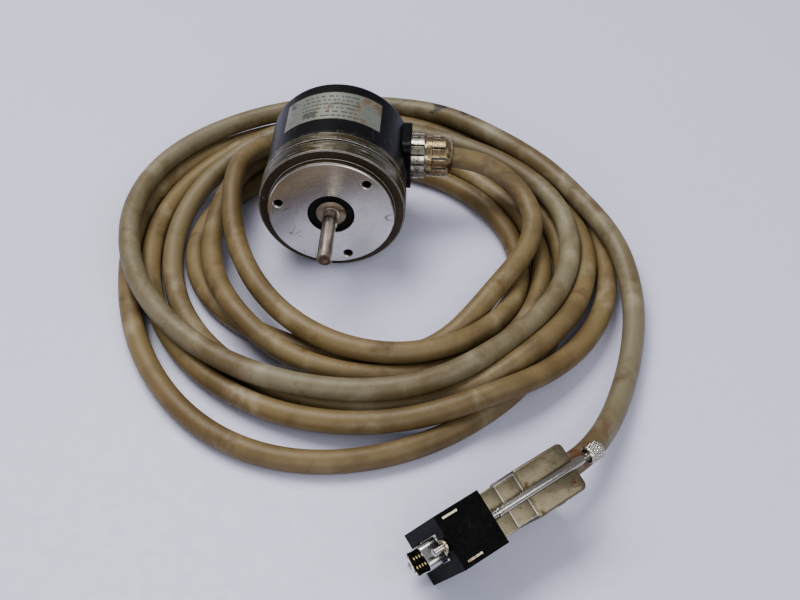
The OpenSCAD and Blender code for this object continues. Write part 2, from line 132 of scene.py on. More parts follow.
class Paint:
    """A node material built on object coordinates, which are the row frame in metres."""

    def __init__(self, name, metallic=0.0):
        self.mat = bpy.data.materials.new(name)
        self.mat.use_nodes = True
        self.tree = self.mat.node_tree
        self.shader = self.tree.nodes["Principled BSDF"]
        self.shader.inputs["Metallic"].default_value = metallic
        self.coord = self.node("ShaderNodeTexCoord").outputs["Object"]
        self.split = self.node("ShaderNodeSeparateXYZ", {"Vector": self.coord})

    def node(self, kind, inputs=None, **props):
        n = self.tree.nodes.new(kind)
        for k, v in props.items():
            setattr(n, k, v)
        for k, v in (inputs or {}).items():
            self.feed(n.inputs[k], v)
        return n

    def feed(self, socket, value):
        if isinstance(value, bpy.types.NodeSocket):
            self.tree.links.new(value, socket)
        else:
            if socket.type == "RGBA" and len(value) == 3:
                value = (*value, 1)
            socket.default_value = value

    def set(self, name, value):
        self.feed(self.shader.inputs[name], value)

    def xyz(self, axis):
        return self.split.outputs[axis]

    def math(self, op, a, b=0.0, c=0.0):
        n = self.node("ShaderNodeMath", {0: a, 1: b, 2: c}, operation=op)
        return n.outputs[0]

    def noise(self, scale, detail=4.0, rough=0.55, warp=0.0, vector=None):
        return self.node("ShaderNodeTexNoise", {
            "Vector": vector or self.coord, "Scale": scale, "Detail": detail,
            "Roughness": rough, "Distortion": warp}).outputs["Fac"]

    def stretched(self, sx, sy, sz):
        return self.node("ShaderNodeMapping", {
            "Vector": self.coord, "Scale": (sx, sy, sz)}).outputs["Vector"]

    def fit(self, value, a, b, low=0.0, high=1.0):
        return self.node("ShaderNodeMapRange", {
            "Value": value, "From Min": a, "From Max": b, "To Min": low, "To Max": high},
            interpolation_type="SMOOTHSTEP").outputs["Result"]

    def mix(self, fac, a, b):
        n = self.node("ShaderNodeMix", data_type="RGBA")
        self.feed(n.inputs[0], fac)
        self.feed(n.inputs[6], a)
        self.feed(n.inputs[7], b)
        return n.outputs[2]

    def bump(self, *layers):
        """layers of (height, distance in metres)."""
        normal = None
        for height, distance in layers:
            n = self.node("ShaderNodeBump", {"Height": height, "Distance": distance,
                                             "Strength": 1.0})
            if normal is not None:
                self.feed(n.inputs["Normal"], normal)
            normal = n.outputs["Normal"]
        self.set("Normal", normal)
        return normal

    def edges(self, radius):
        """1 on sharp edges within the radius, 0 elsewhere."""
        soft = self.node("ShaderNodeBevel", {"Radius": radius}, samples=4).outputs["Normal"]
        hard = self.node("ShaderNodeNewGeometry").outputs["Normal"]
        dot = self.node("ShaderNodeVectorMath", {0: soft, 1: hard},
                        operation="DOT_PRODUCT").outputs["Value"]
        return self.fit(dot, 0.995, 0.86)

    def rounded(self, radius, *layers):
        """Layers of bump over normals that are rounded at the edges."""
        normal = self.node("ShaderNodeBevel", {"Radius": radius}, samples=4).outputs["Normal"]
        for height, distance in layers:
            n = self.node("ShaderNodeBump", {"Height": height, "Distance": distance,
                                             "Normal": normal, "Strength": 1.0})
            normal = n.outputs["Normal"]
        self.set("Normal", normal)


def about_shaft(p):
    """Radius from the encoder's axis."""
    x2 = p.math("MULTIPLY", p.xyz("X"), p.xyz("X"))
    z2 = p.math("MULTIPLY", p.xyz("Z"), p.xyz("Z"))
    return p.math("SQRT", p.math("ADD", x2, z2))


def scratches(p, scale, seed, width=0.02):
    """Thin lines in changing directions, 1 on the scratch."""
    spun = p.node("ShaderNodeMapping", {"Vector": p.coord, "Location": (seed, seed * 2, seed * 3),
                                        "Rotation": (seed, 0.5 * seed, 1.7 * seed),
                                        "Scale": (1, 0.06, 1)}).outputs["Vector"]
    cells = p.node("ShaderNodeTexNoise", {"Vector": spun, "Scale": scale, "Detail": 1.0,
                                          "Distortion": 0.6}).outputs["Fac"]
    away = p.math("ABSOLUTE", p.math("SUBTRACT", cells, 0.5))
    line = p.fit(away, width, 0.0)
    return p.math("MULTIPLY", line, p.fit(p.noise(140, vector=p.coord), 0.52, 0.66))


def metal(name, tint, rough=0.3, dirt=(0.10, 0.065, 0.035), dirt_from=0.55, dirt_to=0.75,
          grain=(1, 1, 1), shine=0.0, spots=0.0, edge_highlight=None, edge_width=0.00035):
    p = Paint(name, 1.0)
    cloud = p.noise(260, 6, 0.6, 0.4)
    broad = p.noise(70, 4, 0.6, 0.2)
    colour = p.mix(p.fit(broad, 0.35, 0.65), tint, [c * 0.78 for c in tint])
    grime = p.fit(cloud, dirt_from, dirt_to)
    colour = p.mix(grime, colour, dirt)
    if spots:
        rust = p.fit(p.noise(420, 5, 0.7, 0.3), 0.66, 0.72)
        colour = p.mix(p.math("MULTIPLY", rust, spots), colour, (0.10, 0.04, 0.015))
        p.set("Metallic", p.math("SUBTRACT", 1.0, p.math("MULTIPLY", rust, 0.9 * spots)))
    # Sharp edges are lightened in the base colour: a painted edge highlight.
    edge = p.edges(edge_width)
    colour = p.mix(p.math("MULTIPLY", edge, 0.75), colour,
                   edge_highlight or [min(1, c * 1.35) for c in tint])
    p.set("Base Color", colour)
    fine = p.noise(2600, 3, 0.6, 0, p.stretched(*grain))
    roughness = p.math("ADD", p.fit(fine, 0.2, 0.8, rough - 0.08, rough + 0.1),
                       p.math("MULTIPLY", grime, 0.25))
    p.set("Roughness", p.math("SUBTRACT", roughness, p.math("MULTIPLY", edge, shine)))
    p.rounded(0.00025, (fine, 0.000012), (cloud, 0.00004))
    return p.mat


def plastic(name, tint, rough=0.45, dust=(0.3, 0.27, 0.22), dust_amount=0.25, grain=2200,
            depth=0.00002, radius=0.0003, gloss=0.5):
    p = Paint(name)
    p.shader.inputs["Specular IOR Level"].default_value = gloss
    cloud = p.noise(120, 5, 0.62, 0.3)
    mottle = p.noise(900, 3, 0.6)
    colour = p.mix(p.fit(mottle, 0.35, 0.7), tint, [min(1, c * 1.35 + 0.004) for c in tint])
    film = p.math("MULTIPLY", p.fit(cloud, 0.5, 0.8), dust_amount)
    colour = p.mix(film, colour, dust)
    scuff = scratches(p, 90, 1.3)
    colour = p.mix(p.math("MULTIPLY", scuff, 0.35), colour, [c * 2.0 + 0.05 for c in tint])
    p.set("Base Color", colour)
    pit = p.noise(grain, 2, 0.5)
    p.set("Roughness", p.math("ADD", p.fit(pit, 0.3, 0.7, rough - 0.06, rough + 0.06),
                              p.math("MULTIPLY", film, 0.8)))
    p.rounded(radius, (pit, depth), (scuff, 0.00002))
    return p.mat


# ---- cord ----------------------------------------------------------------------------------------

CORD_R = 4.25
CORD_D = 2 * CORD_R
FLOOR_Z = -29
LOW = FLOOR_Z + CORD_R
LAYER = 8
gland_run = [[23, 36.5, 0], [31, 36.5, 0], [39, 36.5, 0]]
lead_route = [
    [47, 36.5, 0], [55, 36.8, -0.8], [62, 37, -3.5], [69, 36, -7], [75, 32.5, -10],
    [79.5, 27, -12], [82, 20, -13.5], [82.5, 12, -14.5], [81, 4, -15.5]
]
first_bend = [
    [77.5, -5, -16], [72, -13.5, -16.25], [66, -22, -16.25], [60, -31, -18.5],
    [53, -41, -21.8], [45, -49, -24], [35, -54.5, -24.75]
]
tail_route = [
    [62, 68.5, -15], [72, 61.5, -15.5], [83, 52, -16.5], [93, 40.5, -18], [102, 27.5, -20],
    [110, 14, -22.5], [115.5, 1, -24.3], [118.5, -13, -24.75], [119.2, -27, -24.75],
    [117.5, -42, -24.75], [114.5, -57, -24.5], [110.5, -71, -23.5], [106, -83.5, -21.5],
    [101, -94.5, -18.5], [95.8, -103.8, -14.6], [90.5, -111, -11.8], [85.41, -115.28, -11]
]
# Where each turn is furthest front, left, back and right, and its layer: x, y, layer.
turns = [
    (22, -57, 0), (-59, 4, 0), (4, 64, 0),
    (77, -6, 0), (28, -62, 1), (-45.5, 34, 1), (4, 73, 0),
    (85.5, -4, 0), (15, -66.5, 0), (-50.5, 8, 0), (4, 81.5, 0),
    (94, 0, 0), (0, -106, 0), (-82, 8, 0), (4, 90, 0),
    (111, -6, 0), (16, -91, 0), (-78, 14, 0), (4, 85.5, 1),
    (103, 4, 0), (18, -80.5, 0), (-69.5, 12, 0), (4, 77, 1),
    (97.5, 6, 1), (18, -81, 1), (-86, 18, 1), (0, 94, 1),
]


def lay_out(spacing=4.0):
    """The planned centreline in mm, as even points, before the strands settle on each other."""
    points = [list(p) for p in gland_run + lead_route + first_bend]
    steps = 16
    for i in range(len(turns) - 1):
        a, b = turns[i], turns[i + 1]
        c = (a[0], b[1]) if i % 4 in (0, 2) else (b[0], a[1])
        for j in range(steps):
            t = j / steps * math.pi / 2
            w = j / steps
            w = w * w * (3 - 2 * w)
            points.append([
                c[0] + (a[0] - c[0]) * math.cos(t) + (b[0] - c[0]) * math.sin(t),
                c[1] + (a[1] - c[1]) * math.cos(t) + (b[1] - c[1]) * math.sin(t),
                LOW + LAYER * ((1 - w) * a[2] + w * b[2])])
    points += [[turns[-1][0], turns[-1][1], LOW + LAYER], [32, 87.5, LOW + LAYER],
               [48, 79, LOW + LAYER + 1]]
    points += [list(p) for p in tail_route]
    p = np.array(points, float)
    run = np.r_[0, np.cumsum(np.linalg.norm(np.diff(p[:, :2], axis=0), axis=1))]
    even = np.linspace(0, run[-1], int(round(run[-1] / spacing)) + 1)
    q = np.stack([np.interp(even, run, p[:, k]) for k in range(3)], 1)
    for _ in range(8):
        w = q.copy()
        w[1:-1] = 0.25 * q[:-2] + 0.5 * q[1:-1] + 0.25 * q[2:]
        q = w
    return q


def settle(start, rounds=300):
    """Strands that share a place part: neighbours sideways and crossings upwards. All of them rest on
    the floor."""
    n = len(start)
    index = np.arange(n)
    reach = np.exp(-0.5 * (np.arange(-9, 10) / 3.0) ** 2)
    reach /= reach.sum()
    loose = np.clip((index - 9) / 8, 0, 1) * np.clip((n - 3 - index) / 10, 0, 1)
    apart = 5
    wide = np.exp(-0.5 * (np.arange(-24, 25) / 8.0) ** 2)
    wide /= wide.sum()
    q = start.copy()
    for turn in range(rounds):
        if turn % 10 == 0:
            flat = np.hypot(q[:, None, 0] - q[None, :, 0], q[:, None, 1] - q[None, :, 1])
            i, j = np.nonzero((flat < 1.5 * CORD_D) & (index[:, None] - index[None, :] >= apart))
            lift = start[i, 2] - start[j, 2]
            side = np.where(np.abs(lift) > 1.5, np.sign(lift), 1.0)
        d = q[i] - q[j]
        flat = np.hypot(d[:, 0], d[:, 1])
        crossing = flat < 0.55 * CORD_D
        dz = np.where(crossing, side * np.maximum(side * d[:, 2], 0.6), d[:, 2])
        gap = np.sqrt(flat ** 2 + dz ** 2) + 1e-9
        wrong = side * d[:, 2] < 0
        meet = (gap < CORD_D) | (crossing & (side * d[:, 2] < 0.2 * CORD_D)
                                 & (np.abs(d[:, 2]) < CORD_D))
        bite = np.where(meet, np.maximum(CORD_D - np.where(wrong, 0.3 * CORD_D, gap), 0), 0)
        up = bite * np.where(crossing, side, dz / gap)
        across = (bite * np.where(crossing, 0.15, 1.0) / np.maximum(flat, 1e-6)
                  * np.sqrt(np.maximum(1 - (dz / gap) ** 2, 0)))
        push = np.zeros((n, 3))
        for k, part in enumerate((across * d[:, 0], across * d[:, 1], up)):
            push[:, k] = (np.bincount(i, part, n) - np.bincount(j, part, n))
        touching = np.bincount(i, meet, n) + np.bincount(j, meet, n)
        push /= np.maximum(touching, 1)[:, None]
        push[:, 2] -= 0.10 * (1 - turn / rounds) * (q[:, 2] > LOW)
        move = np.stack([np.convolve(np.pad(push[:, k] * 1.6, 9), reach, "valid")
                         for k in range(3)], 1) * loose[:, None]
        move[:, :2] -= 0.015 * (q[:, :2] - start[:, :2])
        q = q + move
        q[:, 2] = np.where(index < 12, start[:, 2], np.maximum(q[:, 2], LOW))
        # A cord takes up a push over a long stretch, so the moves are spread along it. This fades
        # out, so that the last rounds can part the strands fully.
        moved = q - start
        spread = np.stack([np.convolve(np.pad(moved[:, k], 24, "edge"), wide, "valid")
                           for k in range(3)], 1)
        q += 0.5 * (1 - turn / rounds) * (spread - moved) * loose[:, None]
        w = q.copy()
        w[1:-1] = 0.25 * q[:-2] + 0.5 * q[1:-1] + 0.25 * q[2:]
        q += 0.25 * (w - q) * loose[:, None]
    return q


def cord_mesh(name, line, sides, material):
    """A jacketed tube whose rings are centred on the line. Its radius wavers by up to 0.05 mm."""
    n = len(line)
    ahead = np.gradient(line, axis=0)
    ahead /= np.linalg.norm(ahead, axis=1)[:, None]
    across = np.cross(ahead, [0, 0, 1])
    across /= np.linalg.norm(across, axis=1)[:, None]
    over = np.cross(across, ahead)
    angle = np.arange(sides) * 2 * math.pi / sides
    run = np.r_[0, np.cumsum(np.linalg.norm(np.diff(line, axis=0), axis=1))]
    wave = 0.05 * np.sin(run / 11.0) * np.sin(run / 37.0 + 1)
    rings = (line[:, None, :] + (CORD_R + wave)[:, None, None]
             * (np.cos(angle)[None, :, None] * across[:, None, :]
                + np.sin(angle)[None, :, None] * over[:, None, :]))
    verts = rings.reshape(-1, 3)
    faces = [[a * sides + k, a * sides + (k + 1) % sides, (a + 1) * sides + (k + 1) % sides,
              (a + 1) * sides + k] for a in range(n - 1) for k in range(sides)]
    faces += [list(range(sides - 1, -1, -1)), [(n - 1) * sides + k for k in range(sides)]]
    obj = piece(name, verts, faces, "housing", material, sharp=60)
    layer = obj.data.attributes.new("along", "FLOAT", "POINT")
    layer.data.foreach_set("value", np.repeat(run / run[-1], sides).astype(np.float32))
    return obj, run[-1]


def jacket():
    p = Paint("jacket")
    along = p.node("ShaderNodeAttribute", attribute_name="along").outputs["Fac"]
    grey = (0.19, 0.163, 0.102)
    khaki = (0.195, 0.142, 0.066)
    colour = p.mix(p.fit(along, 0.70, 0.80), khaki, grey)
    broad = p.noise(28, 5, 0.6, 0.5)
    colour = p.mix(p.fit(broad, 0.40, 0.62, 0, 0.8), colour, (0.115, 0.076, 0.032))
    pale = p.noise(45, 4, 0.6, 0.2, p.stretched(1.3, 0.9, 1.1))
    colour = p.mix(p.fit(pale, 0.52, 0.8, 0, 0.55), colour, (0.40, 0.35, 0.24))
    smear = p.noise(95, 5, 0.6, 0.4)
    stain = p.fit(smear, 0.56, 0.78)
    colour = p.mix(p.math("MULTIPLY", stain, 0.7), colour, (0.085, 0.045, 0.017))
    speck = p.fit(p.noise(900, 3, 0.6, 0.2), 0.70, 0.76)
    colour = p.mix(p.math("MULTIPLY", speck, 0.7), colour, (0.025, 0.017, 0.011))
    end = p.fit(along, 0.985, 0.999)
    colour = p.mix(p.math("MULTIPLY", end, p.fit(smear, 0.4, 0.6)), colour, (0.11, 0.045, 0.015))
    start = p.fit(along, 0.032, 0.014)
    colour = p.mix(p.math("MULTIPLY", start, p.fit(smear, 0.40, 0.62, 0, 0.5)), colour,
                   (0.07, 0.05, 0.03))
    # Black marks on the outer strand behind the gland.
    back = p.math("MULTIPLY", p.fit(p.xyz("Y"), 0.072, 0.080), p.fit(p.xyz("X"), 0.012, 0.03))
    smut = p.math("MULTIPLY", back, p.fit(p.noise(62, 4, 0.6, 0.6), 0.50, 0.57))
    colour = p.mix(p.math("MULTIPLY", smut, 0.85), colour, (0.018, 0.015, 0.012))
    scuff = scratches(p, 110, 2.1, 0.02)
    colour = p.mix(p.math("MULTIPLY", scuff, 0.08), colour, (0.40, 0.36, 0.26))
    p.set("Base Color", colour)
    grain = p.noise(2400, 3, 0.6)
    p.set("Roughness", p.math("ADD", p.fit(grain, 0.3, 0.7, 0.40, 0.54),
                              p.math("MULTIPLY", stain, 0.15)))
    p.shader.inputs["Specular IOR Level"].default_value = 0.42
    p.bump((p.noise(120, 3, 0.5), 0.00025), (grain, 0.00002), (scuff, 0.00001),
           (speck, 0.00003))
    return p.mat


line = settle(lay_out())
cord, cord_len = cord_mesh("signal_lead", line, 18, jacket())
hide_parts("cord_stub", "cord_lead", "cord_coil", "cord_tail")

# ---- plug ----------------------------------------------------------------------------------------

PLUG_AT = (45, -148, -11)
PLUG_HEADING = 39
PLUG_LEAN = 28
SCREW_OFFSET = 0.0125
plug = (Matrix.Translation(Vector(PLUG_AT) * MM)
        @ Matrix.Rotation(math.radians(PLUG_HEADING), 4, "Z")
        @ Matrix.Rotation(math.radians(PLUG_LEAN), 4, "X"))

# For both, the colour after the spots value is a painted highlight along sharp edges; the hood's last
# value widens it.
hood_metal = metal("tarnished_hood", (0.21, 0.18, 0.12), 0.32, (0.07, 0.042, 0.018), 0.50, 0.80,
                   (1, 1, 1), 0.08, 0.9, (0.80, 0.77, 0.68), 0.0008)
bright_metal = metal("bright_plate", (0.48, 0.45, 0.40), 0.17, (0.16, 0.12, 0.08), 0.62, 0.84,
                     (1, 1, 1), 0.04, 0.2, (0.56, 0.53, 0.47))


def hood_side(side):
    """Half of the stepped hood: nose, waist and the wider rear with round back corners."""
    def y_pair(t):
        return (0.04, t) if side > 0 else (-t, -0.04)
    sections = []
    for x0, x1, t, half, edge, tall in (
            (15.5, 24.0, 7.7, 10.75, 0.32, None),
            (23.6, 32.3, 7.35, 10.4, 0.25, None),
            (32.0, 52.0, 8.4, 11.0, 0.85, True)):
        y0, y1 = y_pair(t)
        corner = [(x1, side * t, 2.0)] if tall else None
        sections.append(rounded_box((x0, y0, -half), (x1, y1, half), edge, corner, 4))
    # A rib round the cable's mouth.
    y0, y1 = y_pair(5.9)
    sections.append(rounded_box((51.0, y0, -6.2), (52.0, y1, 6.2), 0.4))
    return joined(sections)


for side, name in ((-1, "near"), (1, "far")):
    v, f = hood_side(side)
    hood = piece(f"hood_shell_{name}", v, f, "housing", hood_metal, plug)
    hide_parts(f"hood_{name}")

rivets = []
for x, y, s in ((48.6, -5.0, 1), (48.6, 5.0, -1)):
    ring = lathe([(-0.3, 1.25), (0.10, 1.25), (0.22, 1.1), (0.22, 0.8), (0.02, 0.7)], 40)
    turn = Matrix.Rotation(-s * math.pi / 2, 4, "Y")
    rivets.append(([tuple(turn @ Vector(v) + Vector((x, y, s * 11.0))) for v in ring[0]], ring[1]))
for x, z in ((20, 0), (43, 6.5), (43, -6.5)):
    ring = lathe([(-0.4, 1.7), (0.1, 1.7), (0.28, 1.5), (0.28, 1.1), (0.0, 0.95)], 40)
    turn = Matrix.Rotation(-math.pi / 2, 4, "Z")
    t = 7.7 if x < 24 else 8.4
    rivets.append(([tuple(turn @ Vector(v) + Vector((x, -t, z))) for v in ring[0]], ring[1]))
v, f = joined(rivets)
hood_marks = piece("hood_rivets", v, f, "housing",
                   metal("rusty_rivets", (0.24, 0.17, 0.11), 0.4, (0.10, 0.045, 0.018), 0.4, 0.6,
                         spots=0.6), plug)


def knurl(x, a):
    if not 57.0 < x < 61.4:
        return 0.0
    return 0.13 * max(math.cos(22 * a + 3.2 * x), math.cos(22 * a - 3.2 * x))


def thumbscrew_form():
    # The ring stays clear of the block when the screw is pushed right in.
    profile = [(-5.0, 0.9), (-4.6, 1.3), (18.6, 1.3), (18.6, 1.4), (19.4, 1.4), (19.4, 1.6),
               (19.6, 1.74), (20.6, 1.74), (20.8, 1.6), (20.8, 1.45), (30, 1.45), (53.8, 1.45),
               (54.5, 1.3), (54.8, 1.15), (56.3, 1.15), (56.5, 1.6), (56.5, 2.5), (56.9, 2.9)]
    profile += [(57.0 + 0.2 * k, 2.93) for k in range(23)]
    profile += [(61.5, 2.9), (62.0, 2.4), (62.0, 1.2), (61.7, 0.9)]
    return lathe(profile, 132, knurl)


for s, name in ((1, "upper"), (-1, "lower")):
    v, f = thumbscrew_form()
    screw = piece(f"jackscrew_{name}", v, f, f"{name}_thumbscrew", bright_metal,
                  plug @ Matrix.Translation((0, 0, s * SCREW_OFFSET)), sharp=30)
    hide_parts(f"thumbscrew_{name}")


D_SHORT, D_LONG, D_NARROW = 4.18, 8.45, 6.95
D_CORNER_R = 2.3
BASE_T = 0.3


def d_outline(count=14):
    """Round-cornered outline of a nine-way shell as (y, z), its long side towards -Y."""
    corners = [(-D_SHORT, -D_LONG), (-D_SHORT, D_LONG), (D_SHORT, D_NARROW), (D_SHORT, -D_NARROW)]
    radius = D_CORNER_R
    out = []
    for k in range(4):
        p, c, q = (np.array(corners[(k + d) % 4], float) for d in (-1, 0, 1))
        u, w = (p - c) / np.linalg.norm(p - c), (q - c) / np.linalg.norm(q - c)
        half = math.acos(float(u @ w)) / 2
        centre = c + (u + w) / np.linalg.norm(u + w) * radius / math.sin(half)
        a = c + u * radius / math.tan(half) - centre
        b = c + w * radius / math.tan(half) - centre
        for t in np.linspace(0, 1, count):
            v = a * (1 - t) + b * t
            out.append(centre + v / np.linalg.norm(v) * radius)
    dense = []
    for k, p in enumerate(out):
        q = out[(k + 1) % len(out)]
        steps = max(1, int(np.linalg.norm(q - p) / 0.5))
        dense += [p + (q - p) * s / steps for s in range(steps)]
    return dense


def shell_form():
    outer = d_outline()
    n = len(outer)
    dimples = [(-D_SHORT, -4.6), (-D_SHORT, 0), (-D_SHORT, 4.6), (D_SHORT, -3.6), (D_SHORT, 3.6)]
    dimple_depth, dimple_x, dimple_spread = 0.22, -3.0, 0.45
    verts, faces = [], []
    stations = [(1.2, 0.9), (0.9, 0.9), (0.6, 0.35), (0.3, 0.08)] + [
        (-0.3 * k, 0.0) for k in range(0, 19)] + [(-5.75, -0.06), (-6.0, -0.2), (-6.0, -0.4)] + [
        (-5.7, -0.5)] + [(-0.6 * k, -0.5) for k in range(9, -3, -1)]
    for x, g in stations:
        inward = g <= -0.3
        for p in outer:
            away = p / (np.linalg.norm(p) + 1e-9)
            r = p + away * g
            dent = sum(dimple_depth * math.exp(
                -((p[0] - dy) ** 2 + (p[1] - dz) ** 2 + (x - dimple_x) ** 2) / dimple_spread)
                for dy, dz in dimples)
            if not inward:
                r = r - away * dent
            verts.append((x, r[0], r[1]))
    m = len(stations)
    for i in range(m):
        for k in range(n):
            l = (k + 1) % n
            j = (i + 1) % m
            faces.append([i * n + k, i * n + l, j * n + l, j * n + k])
    return verts, faces


# The shell's base plate closes the block's opening round the insulator.
v, f = joined([shell_form(), rounded_box((BASE_T, -4.57, -8.87), (2 * BASE_T, 4.57, 8.87), 0.08)])
shell = piece("connector_shell", v, f, "housing",
              metal("tinned_shell", (0.62, 0.63, 0.60), 0.2, (0.22, 0.18, 0.12), 0.62, 0.85), plug)
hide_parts("plug_shell")

# ---- finishes of the CAD nodes -------------------------------------------------------------------


def flange_finish():
    p = Paint("turned_flange", 1.0)
    y = p.xyz("Y")
    r = about_shaft(p)
    front = p.math("MULTIPLY", p.fit(y, -0.0026, -0.0029), p.fit(r, 0.0252, 0.0249))
    cloud = p.noise(240, 6, 0.62, 0.5)
    broad = p.noise(60, 4, 0.55, 0.2)
    face = p.mix(p.fit(broad, 0.3, 0.7), (0.76, 0.735, 0.72), (0.62, 0.60, 0.585))
    side = p.mix(p.fit(broad, 0.35, 0.6), (0.25, 0.23, 0.18), (0.13, 0.107, 0.065))
    streak = p.noise(200, 5, 0.65, 0.3, p.stretched(0.35, 2.2, 0.35))
    side = p.mix(p.fit(streak, 0.44, 0.62, 0, 0.9), side, (0.06, 0.045, 0.025))
    glint = p.noise(330, 4, 0.6, 0.2, p.stretched(0.3, 3.0, 0.3))
    side = p.mix(p.fit(glint, 0.60, 0.70, 0, 0.8), side, (0.80, 0.78, 0.72))
    # The step behind the collar is darkened in patches, partly dirt and partly painted shade on the
    # recessed face, and the groove is painted near black as painted shade.
    step_dirt_and_shade = p.math("MULTIPLY", p.fit(y, -0.0028, -0.0012), p.fit(y, 0.0012, 0.0001))
    groove_shade = p.math("MULTIPLY", p.fit(y, 0.0061, 0.0064), p.fit(y, 0.0075, 0.0072))
    side = p.mix(p.math("MULTIPLY", step_dirt_and_shade, p.fit(cloud, 0.15, 0.45)), side, (0.055, 0.04, 0.025))
    side = p.mix(groove_shade, side, (0.02, 0.016, 0.012))
    colour = p.mix(front, side, face)
    fleck = p.math("MULTIPLY", front, p.fit(p.noise(520, 4, 0.7, 0.2), 0.70, 0.74))
    colour = p.mix(p.math("MULTIPLY", fleck, 0.8), colour, (0.06, 0.05, 0.045))
    scar = p.math("ADD", scratches(p, 60, 0.7, 0.012), scratches(p, 75, 4.1, 0.014))
    scar = p.math("MULTIPLY", p.math("MINIMUM", scar, 1.0), p.fit(p.xyz("Z"), 0.012, -0.004))
    colour = p.mix(p.math("MULTIPLY", p.math("MULTIPLY", scar, front), 0.85), colour,
                   (0.10, 0.09, 0.08))
    # Sharp edges and the chamfer are lightened: a painted edge highlight.
    edge = p.edges(0.0005)
    colour = p.mix(p.math("MULTIPLY", edge, 0.85), colour, (0.86, 0.84, 0.8))
    p.set("Base Color", colour)
    rings = p.node("ShaderNodeTexNoise", {
        "Vector": p.node("ShaderNodeCombineXYZ", {"X": r, "Y": 0.3, "Z": 0.1}).outputs["Vector"],
        "Scale": 5200.0, "Detail": 3.0}).outputs["Fac"]
    dull = p.math("MULTIPLY", p.fit(streak, 0.46, 0.64), 0.3)
    rough_face = p.fit(rings, 0.3, 0.7, 0.20, 0.30)
    rough_side = p.math("ADD", p.fit(cloud, 0.3, 0.7, 0.24, 0.42), dull)
    n = p.node("ShaderNodeMix", data_type="FLOAT")
    p.feed(n.inputs[0], front)
    p.feed(n.inputs[2], rough_side)
    p.feed(n.inputs[3], rough_face)
    p.set("Roughness", n.outputs[0])
    p.set("Metallic", p.math("SUBTRACT", 1.0, p.math("MULTIPLY", p.math("MAXIMUM", step_dirt_and_shade, groove_shade),
                                                     0.6)))
    p.rounded(0.0003, (rings, 0.000004), (cloud, 0.00002), (scar, 0.00001))
    return p.mat


def shaft_finish():
    p = Paint("worn_shaft", 1.0)
    y = p.xyz("Y")
    streak = p.noise(420, 5, 0.65, 0.2, p.stretched(1, 0.25, 1))
    cloud = p.noise(600, 6, 0.7, 0.4)
    colour = p.mix(p.fit(streak, 0.35, 0.7), (0.50, 0.46, 0.41), (0.24, 0.20, 0.16))
    tip = p.fit(y, -0.0262, -0.0292)
    root = p.fit(y, -0.0075, -0.0035)
    rust = p.math("MULTIPLY", p.math("MAXIMUM", tip, root), p.fit(cloud, 0.36, 0.56))
    colour = p.mix(rust, colour, (0.09, 0.048, 0.028))
    # A light stripe along the shaft's right side is a painted highlight.
    right_side_highlight = p.fit(p.xyz("X"), 0.00244, 0.0025)
    colour = p.mix(p.math("MULTIPLY", right_side_highlight, 0.8), colour, (0.78, 0.75, 0.70))
    # Sharp edges are lightened: a painted edge highlight.
    edge = p.edges(0.0003)
    colour = p.mix(p.math("MULTIPLY", edge, 0.7), colour, (0.75, 0.72, 0.66))
    p.set("Base Color", colour)
    p.set("Metallic", p.math("SUBTRACT", 1.0, p.math("MULTIPLY", rust, 0.85)))
    p.set("Roughness", p.math("ADD", p.fit(streak, 0.3, 0.7, 0.22, 0.36),
                              p.math("MULTIPLY", rust, 0.35)))
    turned = p.noise(3000, 2, 0.5, 0, p.stretched(0.05, 1, 0.05))
    p.rounded(0.0002, (turned, 0.00001), (cloud, 0.00004))
    return p.mat


def cap_finish():
    p = Paint("moulded_cap")
    cloud = p.noise(55, 5, 0.6, 0.4)
    grain = p.noise(2600, 3, 0.6)
    colour = p.mix(p.fit(cloud, 0.35, 0.7), (0.003, 0.003, 0.004), (0.006, 0.0062, 0.0075))
    dust = p.fit(p.noise(420, 6, 0.75, 0.3), 0.62, 0.84, 0, 0.13)
    colour = p.mix(dust, colour, (0.16, 0.14, 0.11))
    seam = p.fit(p.xyz("Y"), 0.0150, 0.0120, 0, 1)
    grime = p.math("MULTIPLY", seam, p.fit(p.noise(160, 5, 0.7), 0.42, 0.68, 0, 0.55))
    colour = p.mix(grime, colour, (0.12, 0.095, 0.07))
    scuff = p.math("ADD", scratches(p, 70, 3.3, 0.012), scratches(p, 110, 5.2, 0.012))
    colour = p.mix(p.math("MULTIPLY", scuff, 0.3), colour, (0.16, 0.16, 0.17))
    p.set("Base Color", colour)
    p.set("Roughness", p.math("ADD", p.fit(grain, 0.3, 0.7, 0.30, 0.40),
                              p.math("MULTIPLY", dust, 1.0)))
    p.shader.inputs["Specular IOR Level"].default_value = 0.2
    p.rounded(0.0006, (grain, 0.000018), (scuff, 0.00001))
    return p.mat


